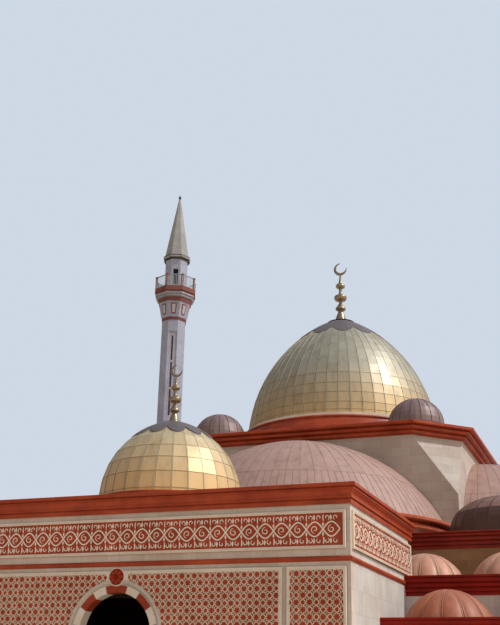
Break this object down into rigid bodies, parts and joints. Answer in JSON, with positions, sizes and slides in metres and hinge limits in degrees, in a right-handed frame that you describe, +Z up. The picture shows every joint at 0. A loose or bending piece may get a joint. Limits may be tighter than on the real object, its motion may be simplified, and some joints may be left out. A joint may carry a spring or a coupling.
{
  "type": "mosque building, 1:2 scale model",
  "caption": "Domed stone mosque with gilded domes over stepped red cornices, half domes, ribbed porch domes, carved screens, an arched portal and octagonal corner minarets.",
  "frame": {"origin": "on the ground, under the middle of the main dome", "axes": "+Y from the portal towards the back of the hall, +Z up, +X to the right seen from the front"},
  "size_m": [26.5, 29.21, 27.85],
  "materials": {
    "stone": "cream limestone facing, fine joints",
    "red_stone": "honed red-brown stone",
    "carved_screen": "carved red stars in cream strapwork",
    "gilded_metal": "gilded sheet panels, weathered satin",
    "roof_metal": "pink-brown standing-seam sheet",
    "brown_metal": "dark brown standing-seam sheet",
    "spire_metal": "pale grey lead-coloured sheet"
  },
  "bodies": {
    "root": {"entrance_front_wall": "stone", "entrance_right_wall": "stone", "entrance_left_wall": "stone", "entrance_rear_wall": "stone", "entrance_roof": "stone", "porch_right_arcade": "stone", "porch_left_arcade": "stone", "aisle_right_wall": "stone", "aisle_left_wall": "stone", "hall_front_wall": "stone", "hall_rear_wall": "stone", "hall_right_wall": "stone", "hall_left_wall": "stone", "hall_roof": "stone", "floor_slab": "stone", "base_block": "stone", "base_roof": "stone", "minaret_right_shaft": "stone", "minaret_left_shaft": "stone", "minaret_right_turret": "stone", "minaret_left_turret": "stone", "entrance_cornice": "red_stone", "entrance_string_course": "red_stone", "frieze_panel_front": "red_stone", "frieze_panel_right": "red_stone", "frieze_panel_left": "red_stone", "portal_arch": "red_stone", "front_dome_drum": "red_stone", "porch_right_cornice": "red_stone", "porch_left_cornice": "red_stone", "aisle_right_cornice": "red_stone", "aisle_left_cornice": "red_stone", "hall_cornice": "red_stone", "base_cornice": "red_stone", "main_drum": "red_stone", "minaret_right_balcony": "red_stone", "minaret_left_balcony": "red_stone", "screen_inner_right": "carved_screen", "screen_inner_left": "carved_screen", "screen_outer_right": "carved_screen", "screen_outer_left": "carved_screen", "front_dome": "gilded_metal", "front_finial": "gilded_metal", "main_dome": "gilded_metal", "main_finial": "gilded_metal", "porch_right_roof": "roof_metal", "porch_left_roof": "roof_metal", "aisle_roof": "roof_metal", "semi_dome_front": "roof_metal", "semi_dome_right": "roof_metal", "semi_dome_rear": "roof_metal", "semi_dome_left": "roof_metal", "small_dome_front_right": "brown_metal", "small_dome_front_left": "brown_metal", "small_dome_rear_right": "brown_metal", "small_dome_rear_left": "brown_metal", "minaret_right_spire": "spire_metal", "minaret_left_spire": "spire_metal"}
  },
  "joints": []
}
